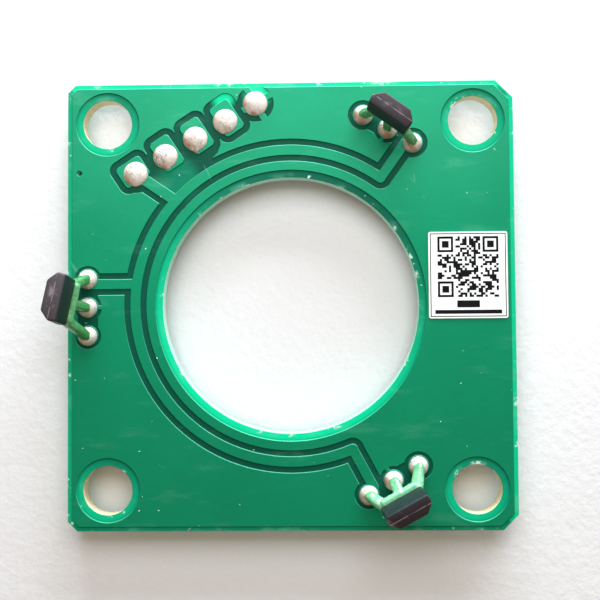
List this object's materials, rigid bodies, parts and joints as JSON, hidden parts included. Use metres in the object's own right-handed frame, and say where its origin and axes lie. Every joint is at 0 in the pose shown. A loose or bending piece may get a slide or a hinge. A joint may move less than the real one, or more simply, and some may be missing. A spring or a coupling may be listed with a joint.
{
  "type": "hall sensor circuit board",
  "caption": "Square circuit board with a large round shaft opening, corner mounting holes, a row of wire pads and upright hall sensors that read a magnet turning in the opening.",
  "frame": {"origin": "on the axis of the centre opening, at the opening's lower edge", "axes": "+Z up out of the sensor side; +X to the right and +Y up as seen from the sensor side with the wire pads at the upper left"},
  "size_m": [0.0403, 0.04, 0.0096],
  "materials": {
    "laminate": "cut glass-fibre edge",
    "copper": "foil under lacquer",
    "green_lacquer": "gloss solder mask",
    "solder": "satin solder",
    "tinned_lead": "tinned",
    "moulded_black": "fine moulded matt",
    "silicon": "polished",
    "mint_lacquer": "thick gloss lacquer",
    "label_paper": "matt paper"
  },
  "bodies": {
    "root": {"board_laminate": "laminate", "ground_copper": "copper", "hall_chip_a": "silicon", "hall_chip_b": "silicon", "hall_chip_c": "silicon", "label": "label_paper", "lead_lacquer_a": "mint_lacquer", "lead_lacquer_b": "mint_lacquer", "lead_lacquer_c": "mint_lacquer", "sensor_body_a": "moulded_black", "sensor_body_b": "moulded_black", "sensor_body_c": "moulded_black", "sensor_joint_a_ground": "solder", "sensor_joint_a_output": "solder", "sensor_joint_a_supply": "solder", "sensor_joint_b_ground": "solder", "sensor_joint_b_output": "solder", "sensor_joint_b_supply": "solder", "sensor_joint_c_ground": "solder", "sensor_joint_c_output": "solder", "sensor_joint_c_supply": "solder", "sensor_lead_a_ground": "tinned_lead", "sensor_lead_a_output": "tinned_lead", "sensor_lead_a_supply": "tinned_lead", "sensor_lead_b_ground": "tinned_lead", "sensor_lead_b_output": "tinned_lead", "sensor_lead_b_supply": "tinned_lead", "sensor_lead_c_ground": "tinned_lead", "sensor_lead_c_output": "tinned_lead", "sensor_lead_c_supply": "tinned_lead", "signal_copper_a": "copper", "signal_copper_b": "copper", "signal_copper_c": "copper", "solder_mask_bottom": "green_lacquer", "solder_mask_top": "green_lacquer", "supply_copper": "copper", "wire_joint_1": "solder", "wire_joint_2": "solder", "wire_joint_3": "solder", "wire_joint_4": "solder", "wire_joint_5": "solder"}
  },
  "joints": []
}
